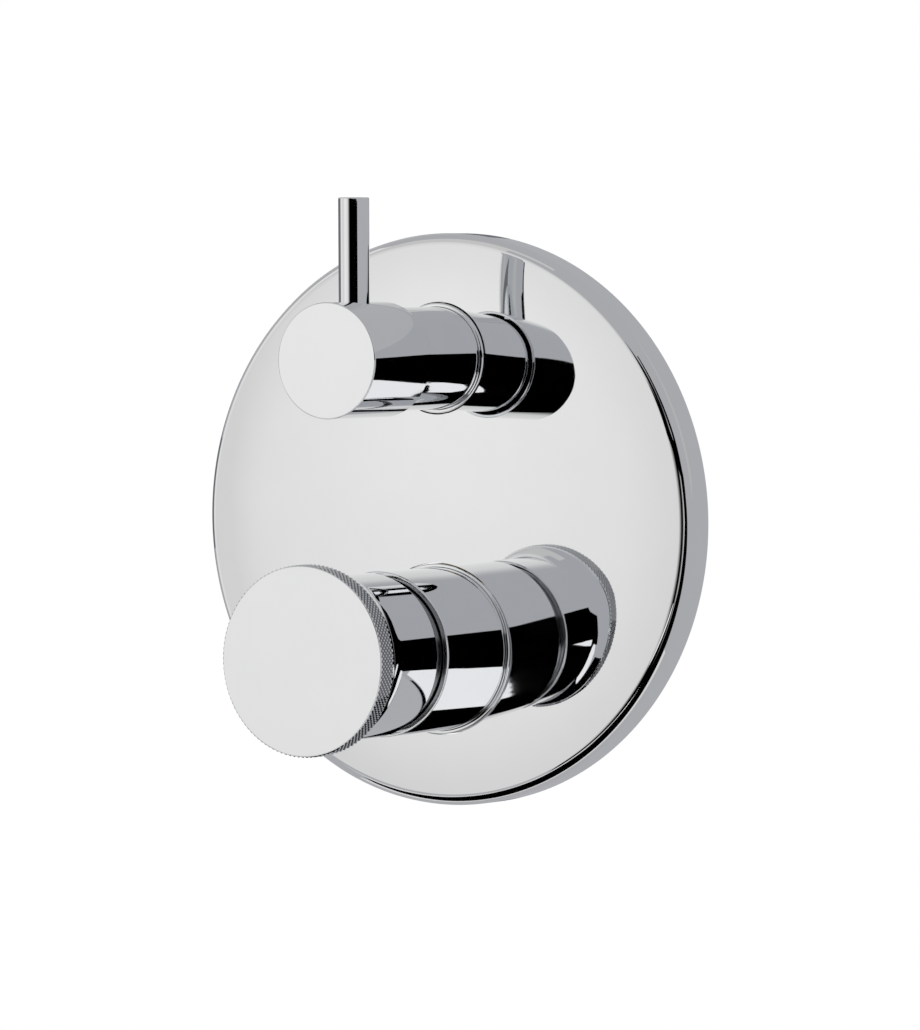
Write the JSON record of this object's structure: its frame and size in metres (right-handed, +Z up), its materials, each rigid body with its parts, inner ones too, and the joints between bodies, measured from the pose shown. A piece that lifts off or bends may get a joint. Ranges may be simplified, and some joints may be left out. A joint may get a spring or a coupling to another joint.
{
  "type": "concealed shower mixer",
  "caption": "Concealed shower mixer: round domed cover plate with a pin-lever diverter handle above a knurled, flared mixing knob, on a valve body that sits in the wall.",
  "frame": {"origin": "centre of the cover plate's rear rim, on the face of the wall", "axes": "+X to the right and +Z up as the user sees it; +Y into the wall, so the front faces -Y"},
  "size_m": [0.17, 0.1323, 0.1802],
  "materials": {
    "polished_chrome": "mirror-polished chrome plating on brass",
    "cast_brass": "as-cast brass with machined faces",
    "turned_brass": "turned brass",
    "hub_chrome": "dark satin plating",
    "black_rubber": "matt moulded rubber",
    "grey_foam": "closed-cell foam strip",
    "cartridge_plastic": "moulded acetal",
    "valve_plastic": "moulded acetal",
    "white_ceramic": "lapped alumina",
    "stainless_steel": "plain"
  },
  "bodies": {
    "fixed": {"cover_plate": "polished_chrome", "upper_sleeve": "polished_chrome", "upper_collar_ring": "polished_chrome", "lower_sleeve": "polished_chrome", "lower_collar_ring": "polished_chrome", "valve_body": "cast_brass", "mixing_retaining_nut": "turned_brass", "diverter_retaining_nut": "turned_brass", "upper_plate_seal": "black_rubber", "lower_plate_seal": "black_rubber", "mixing_base_seal": "black_rubber", "diverter_base_seal": "black_rubber", "plate_gasket": "grey_foam", "mixing_cartridge_base": "cartridge_plastic", "mixing_cartridge_housing": "cartridge_plastic", "diverter_cartridge_base": "cartridge_plastic", "diverter_cartridge_housing": "cartridge_plastic", "hot_check_valve": "valve_plastic", "cold_check_valve": "valve_plastic", "mixing_fixed_disc": "white_ceramic", "diverter_fixed_disc": "white_ceramic", "hot_strainer": "stainless_steel", "cold_strainer": "stainless_steel"},
    "diverter": {"diverter_moving_disc": "white_ceramic", "diverter_stem": "turned_brass", "diverter_spindle": "turned_brass", "upper_handle": "polished_chrome", "lever_pin": "polished_chrome"},
    "mixer": {"mixing_moving_disc": "white_ceramic", "mixing_stem": "turned_brass", "mixing_spindle": "turned_brass", "knob_hub": "hub_chrome", "mixing_knob": "polished_chrome", "knob_set_screw": "stainless_steel"}
  },
  "joints": [
    {"name": "diverter_turn", "type": "hinge", "parent": "fixed", "child": "diverter", "pos_m": [0, -0.058, 0.048], "axis": [0, -1, 0], "range_deg": [-90, 90]},
    {"name": "mixing_turn", "type": "hinge", "parent": "fixed", "child": "mixer", "pos_m": [0, -0.0688, -0.0382], "axis": [0, -1, 0], "range_deg": [0, 120]}
  ]
}
